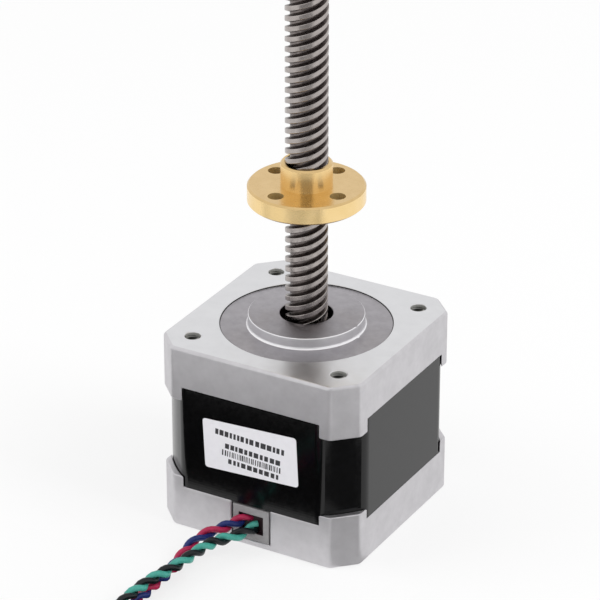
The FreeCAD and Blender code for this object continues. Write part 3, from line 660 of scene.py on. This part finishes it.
# Their finish is painted darker further down, as shade in the holes.
add_mesh("mounting_threads", "motor", "cast_aluminium", build_hole_threads, tapped)


# Leads: two twisted pairs of wires, one pair for each phase, laid loosely round each other, out of
# the bush, down to the floor and into a small coil that a band holds. A lay is the length of one full
# twist. The pairs stand further apart, by up to LOOSE_SHARE, where they have run as far as LOOSE_AT.
WIRE_COUNT = 4
WIRE_RADIUS = 0.6 * MM
PAIR_OFFSET = 2 * WIRE_RADIUS
PAIR_LAY = 6.4 * MM
LOOSE_AT = 11.0 * MM
LOOSE_SHARE = 0.5
BUNDLE_LAY = 90.0 * MM
PAIR_START = math.radians(-112)
BUNDLE_START = math.radians(-35)
WIRE_SIDES = 12
LEAD_RESOLUTION = 10

# The route's control points and the coil, in millimetres. The points near the exit lie a little beside
# the CAD tube's, where the wires bend to the left as they leave the bush.
LEAD_ROUTE = (
    (-0.2, -19.85, 4.9),
    (-1.2, -23.5, 4.6),
    (-5.3, -27.8, 3.8),
    (-6.1, -32.8, 3.0),
    (-6.2, -38.4, 2.50),
    (-7.2, -45.2, 2.45),
    (-7.0, -52.8, 2.45),
    (-5.7, -61.4, 2.60),
    (-5.5, -69.2, 2.85),
)
COIL_CENTRE = (15.4, -74.0)
COIL_RADIUS = 21.0
COIL_HEIGHT = 2.85
COIL_STEP = 3.2
COIL_TURNS = 2.2
COIL_POINTS = 16


def lead_points():
    """The route's control points, and after them the coil's, wound inward from its left side."""
    points = list(LEAD_ROUTE)
    # The spline passes inside its control points, so they stand a little further out.
    outward = 1 / math.cos(math.pi / COIL_POINTS)
    for i in range(1, int(COIL_TURNS * COIL_POINTS) + 1):
        turn = i / COIL_POINTS
        radius = (COIL_RADIUS - COIL_STEP * turn) * outward
        angle = math.pi + 2 * math.pi * turn
        x = COIL_CENTRE[0] + radius * math.cos(angle)
        y = COIL_CENTRE[1] + radius * math.sin(angle)
        points.append((x, y, COIL_HEIGHT))
    return [Vector(p) * MM for p in points]


def spline_points(points, resolution):
    """Points along the smooth line that has these control points."""
    line = bpy.data.curves.new("lead_line", "CURVE")
    line.dimensions = "3D"
    spline = line.splines.new("NURBS")
    spline.points.add(len(points) - 1)
    for target, point in zip(spline.points, points):
        target.co = (*point, 1.0)
    spline.order_u = 3
    spline.use_endpoint_u = True
    spline.resolution_u = resolution
    holder = bpy.data.objects.new("lead_line", line)
    bpy.context.scene.collection.objects.link(holder)
    bpy.context.view_layer.update()
    data = bpy.data.meshes.new_from_object(holder)
    path = [vertex.co.copy() for vertex in data.vertices]
    bpy.data.objects.remove(holder)
    bpy.data.curves.remove(line)
    bpy.data.meshes.remove(data)
    return path


def directions(path):
    """The way ahead at each point of a path."""
    last = len(path) - 1
    return [(path[min(i + 1, last)] - path[max(i - 1, 0)]).normalized() for i in range(last + 1)]


def cross_axes(tangent):
    """Two directions across a line: a level one, and the one above it."""
    side = UP.cross(tangent).normalized()
    return side, tangent.cross(side)


def across_line(axes, angle, radius):
    """A step away from a line, at an angle round it."""
    side, over = axes
    return (side * math.cos(angle) + over * math.sin(angle)) * radius


def wire_lines(path):
    """The four wires' centrelines: each pair is twisted, and the pairs turn slowly about the path."""
    along = [0.0]
    for a, b in zip(path, path[1:]):
        along.append(along[-1] + (b - a).length)
    lines = [[] for _ in range(WIRE_COUNT)]
    for point, tangent, distance in zip(path, directions(path), along):
        axes = cross_axes(tangent)
        loose = 1 + LOOSE_SHARE * max(0.0, 1 - abs(distance / LOOSE_AT - 1))
        for k, line in enumerate(lines):
            pair, half = divmod(k, 2)
            round_bundle = BUNDLE_START + math.pi * pair + 2 * math.pi * distance / BUNDLE_LAY
            round_pair = PAIR_START + math.pi * (half + pair / 2) + 2 * math.pi * distance / PAIR_LAY
            to_pair = across_line(axes, round_bundle, PAIR_OFFSET * loose)
            line.append(point + (to_pair + across_line(axes, round_pair, WIRE_RADIUS)))
    return lines


def tube_rings(line, radius, sides):
    """Rings of points round a line, one at each of its points."""
    rings = []
    angles = [2 * math.pi * i / sides for i in range(sides)]
    for point, tangent in zip(line, directions(line)):
        axes = cross_axes(tangent)
        rings.append([point + across_line(axes, angle, radius) for angle in angles])
    return rings


lead_path = spline_points(lead_points(), LEAD_RESOLUTION)
lead_lines = wire_lines(lead_path)
wires = (
    lead_covering("lead_black", (0.003, 0.006, 0.008), (0.006, 0.010, 0.012)),
    lead_covering("lead_green", (0.075, 0.38, 0.315), (0.045, 0.30, 0.24)),
    lead_covering("lead_red", (0.46, 0.020, 0.085), (0.36, 0.014, 0.060)),
    lead_covering("lead_blue", (0.014, 0.028, 0.16), (0.010, 0.020, 0.12)),
)


def build_leads(shape):
    for k, line in enumerate(lead_lines):
        ring_strip(shape, tube_rings(line, WIRE_RADIUS, WIRE_SIDES), material=k)


leads = add_mesh("leads", "motor", "lead_covering", build_leads, *wires, smooth_angle=50)
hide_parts("lead_bundle", "lead_coil")

TIP_LENGTH = 4.0 * MM
TIP_RADIUS = 0.3 * MM
TIP_SIDES = 8


def build_tips(shape):
    ahead = directions(lead_path)[-1]
    for line in lead_lines:
        run = [line[-1] - ahead * TIP_RADIUS, line[-1] + ahead * TIP_LENGTH]
        ring_strip(shape, tube_rings(run, TIP_RADIUS, TIP_SIDES))


tips = add_mesh("lead_tips", "motor", "pin_brass", build_tips, tinned_wire())

# The band that ties the coil, closed round two turns of the twisted wires, in millimetres.
BAND_ANGLE = math.radians(-50)
BAND_WIDTH = 3.0
BAND_THICKNESS = 0.4
BAND_RADIUS = 2.85
BAND_NEAR = 16.6
BAND_FAR = 19.9
BAND_STEPS = 8


def band_loop(radius):
    """The band's outline from the coil's middle outward, with round ends: distance and height."""
    loop = []
    for i in range(2 * BAND_STEPS + 2):
        far = i <= BAND_STEPS
        angle = math.pi * ((i if far else i - 1) / BAND_STEPS - 0.5)
        reach = (BAND_FAR if far else BAND_NEAR) + radius * math.cos(angle)
        loop.append((reach, BAND_RADIUS + radius * math.sin(angle)))
    return loop


def build_band(shape):
    across = Vector((math.cos(BAND_ANGLE), math.sin(BAND_ANGLE), 0))
    along = Vector((-across.y, across.x, 0))
    centre = Vector((*COIL_CENTRE, 0))
    loops = []
    for inset, side in ((0, -1), (0, 1), (BAND_THICKNESS, 1), (BAND_THICKNESS, -1)):
        edge = centre + along * side * BAND_WIDTH / 2
        outline = band_loop(BAND_RADIUS - inset)
        loops.append([(edge + across * r + UP * z) * MM for r, z in outline])
    rows = ring_strip(shape, loops, closed_ends=False)
    join_rings(shape, rows[-1], rows[0])


band = add_mesh("tie_band", "motor", "tie_band", build_band, tie_band())
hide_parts("lead_tie")


# Label: lines of plain bars and a row of stripes, in millimetres from the middle of its face. A line or
# row has a lower and an upper edge, a left end and a right one.
label_low, label_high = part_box("rating_label")
LABEL_CENTRE = (label_low + label_high) / 2
LABEL_FACE = label_low.y
LABEL_TILT = math.radians(-2.8)
LABEL_INK = 0.012 * MM
PRINT_SEED = 7
PRINT_LINES = ((1.65, 2.8, -7.6, 7.2), (-0.8, 0.25, -5.4, 6.4), (-3.85, -2.85, -4.6, 6.2))
BAR_WIDTHS = (0.45, 1.1)
BAR_GAPS = (0.22, 0.42)
STRIPE_ROW = (-2.4, -1.2, -6.0, 6.4)
STRIPE_WIDTHS = (0.12, 0.2, 0.3)
STRIPE_GAPS = (0.14, 0.22, 0.3)


def build_print(shape):
    """Short bars in three lines and one row of upright stripes, on the label's face."""
    dice = random.Random(PRINT_SEED)
    across, up = math.cos(LABEL_TILT), math.sin(LABEL_TILT)

    def bar(left, right, low, high):
        corners = []
        for u, v in ((left, low), (right, low), (right, high), (left, high)):
            x = LABEL_CENTRE.x + (u * across - v * up) * MM
            z = LABEL_CENTRE.z + (u * up + v * across) * MM
            corners.append((x, z))
        rings = [[(x, y, z) for x, z in corners] for y in (LABEL_FACE, LABEL_FACE - LABEL_INK)]
        top = ring_strip(shape, rings, closed_ends=False)[-1]
        shape.faces.new(top)

    for low, high, left, right in PRINT_LINES:
        place = left
        while place < right:
            width = dice.uniform(*BAR_WIDTHS)
            bar(place, min(place + width, right), low, high)
            place += width + dice.uniform(*BAR_GAPS)
    low, high, place, right = STRIPE_ROW
    while place < right:
        width = dice.choice(STRIPE_WIDTHS)
        bar(place, place + width, low, high)
        place += width + dice.choice(STRIPE_GAPS)


add_mesh("label_print", "motor", "label_paper", build_print, label_ink())


# Studio


EYE = Vector((284.11, -500.87, 332.08)) * MM
TARGET = Vector((-1.0616, -0.6052, 42.501)) * MM
CAMERA_LENS = 207.06
CAMERA_SENSOR = 36.0
CAMERA_CLIP = (0.01, 20.0)

# The share of plain white in what is seen of the floor. The rest is its lit and shaded colour.
FLOOR_WHITE = 0.72
# The world as it lights the object, and as it is seen.
WORLD_LIGHT = 0.78
WORLD_WHITE = 1.0

# Each lamp's place, size and power in watts.
LAMPS = {
    "key_light": ((0.62, 0.05, 0.62), 0.4, 2.6),
    "fill_light": ((-0.6, -0.35, 0.55), 0.5, 1.4),
}
LAMP_AIM = Vector((0.0, 0.0, 0.05))


def seen_rays(tree):
    """1 for camera, glossy and transmission rays, which see a white studio, and 0 for the rest."""
    path = tree.nodes.new("ShaderNodeLightPath")
    total = None
    for ray in ("Is Camera Ray", "Is Glossy Ray", "Is Transmission Ray"):
        output = path.outputs[ray]
        if total is None:
            total = output
            continue
        larger = tree.nodes.new("ShaderNodeMath")
        larger.operation = "MAXIMUM"
        tree.links.new(total, larger.inputs[0])
        tree.links.new(output, larger.inputs[1])
        total = larger.outputs[0]
    return total


def floor_material():
    f = Finish("studio_floor", (0.92, 0.92, 0.92), 0.0, 0.9)
    seen = seen_rays(f.tree)
    glow = f.node("ShaderNodeEmission")
    part = f.node("ShaderNodeMath", operation="MULTIPLY")
    f.link(seen, part, 0)
    f.set(part, 1, FLOOR_WHITE)
    mix = f.node("ShaderNodeMixShader")
    f.link(part.outputs[0], mix, 0)
    f.link(f.bsdf.outputs[0], mix, 1)
    f.link(glow.outputs[0], mix, 2)
    f.link(mix.outputs[0], f.tree.nodes["Material Output"], "Surface")
    return f.mottle(f.noise(2.0, 2), (0.91, 0.91, 0.91))


def plane(name, corners, finish):
    data = bpy.data.meshes.new(name)
    data.from_pydata(corners, [], [range(len(corners))])
    data.materials.append(finish.material)
    made = bpy.data.objects.new(name, data)
    bpy.context.scene.collection.objects.link(made)
    return made


FLOOR_HALF = 4.0
FLOOR_HEIGHT = -0.02 * MM
SQUARE = ((-1, -1), (1, -1), (1, 1), (-1, 1))
floor_corners = [(x * FLOOR_HALF, y * FLOOR_HALF, FLOOR_HEIGHT) for x, y in SQUARE]
plane("studio_floor", floor_corners, floor_material())


# A plain glow at a level, which only reflections show: painted dark reflection.
def dark_finish(level):
    f = Finish("studio_flag", (0.02, 0.02, 0.02), 0.0, 1.0)
    glow = f.node("ShaderNodeEmission")
    f.set(glow, "Color", (level, level, level, 1.0))
    f.link(glow.outputs[0], f.tree.nodes["Material Output"], "Surface")
    return f


# Dark flags which only polished surfaces see, plain glowing sheets that paint darker reflections: four
# on the floor, each with its level and corners, and one behind the camera.
FLOOR_FLAGS = {
    "near_flag": (0.03, ((-0.10, -0.036), (-0.10, -0.0725), (0.0465, -0.0725), (0.016, -0.036))),
    "foot_flag": (0.52, ((0.0185, -0.0125), (0.0185, -0.030), (0.033, -0.041), (0.035, -0.019))),
    "corner_flag": (0.10, ((0.035, -0.019), (0.033, -0.041), (0.094, -0.075), (0.064, -0.025))),
    "far_flag": (0.35, ((-0.03, -0.19), (-0.3, -1.2), (1.2, -1.2), (0.19, -0.09))),
}
CAMERA_FLAG_LEVEL = 0.28
CAMERA_FLAG_AWAY = 1.1
CAMERA_FLAG_WIDTH = 0.96
CAMERA_FLAG_HEIGHT = 0.52


def flag(name, level, corners):
    made = plane(name, corners, dark_finish(level))
    made.visible_camera = False
    made.visible_diffuse = False
    made.visible_shadow = False


for name, (level, corners) in FLOOR_FLAGS.items():
    flag(name, level, [(x, y, FLOOR_HEIGHT / 2) for x, y in corners])

to_eye = (EYE - TARGET).normalized()
across = UP.cross(to_eye).normalized()
upward = to_eye.cross(across) * CAMERA_FLAG_HEIGHT / 2
across *= CAMERA_FLAG_WIDTH / 2
behind = TARGET + to_eye * CAMERA_FLAG_AWAY
flag("camera_flag", CAMERA_FLAG_LEVEL, [behind + across * i + upward * j for i, j in SQUARE])

world = bpy.data.worlds.new("studio")
bpy.context.scene.world = world
world.use_nodes = True
sky = world.node_tree
sky.nodes.clear()


def background(strength):
    shader = sky.nodes.new("ShaderNodeBackground")
    shader.inputs["Color"].default_value = (1, 1, 1, 1)
    shader.inputs["Strength"].default_value = strength
    return shader.outputs[0]


blend = sky.nodes.new("ShaderNodeMixShader")
out = sky.nodes.new("ShaderNodeOutputWorld")
sky.links.new(seen_rays(sky), blend.inputs[0])
sky.links.new(background(WORLD_LIGHT), blend.inputs[1])
sky.links.new(background(WORLD_WHITE), blend.inputs[2])
sky.links.new(blend.outputs[0], out.inputs["Surface"])


def aimed(name, data, place, aim):
    """A lamp or camera that stands at a place and points at the aim."""
    holder = bpy.data.objects.new(name, data)
    holder.location = place
    holder.rotation_euler = (aim - place).to_track_quat("-Z", "Y").to_euler()
    bpy.context.scene.collection.objects.link(holder)
    return holder


for name, (place, size, power) in LAMPS.items():
    lamp = bpy.data.lights.new(name, "AREA")
    lamp.size = size
    lamp.energy = power
    # Polished surfaces show the white studio, not the lamps.
    aimed(name, lamp, Vector(place), LAMP_AIM).visible_glossy = False

camera = bpy.data.cameras.new("camera")
camera.lens = CAMERA_LENS
camera.sensor_width = CAMERA_SENSOR
camera.clip_start, camera.clip_end = CAMERA_CLIP
bpy.context.scene.camera = aimed("camera", camera, EYE, TARGET)
bpy.context.scene.view_settings.view_transform = "Standard"
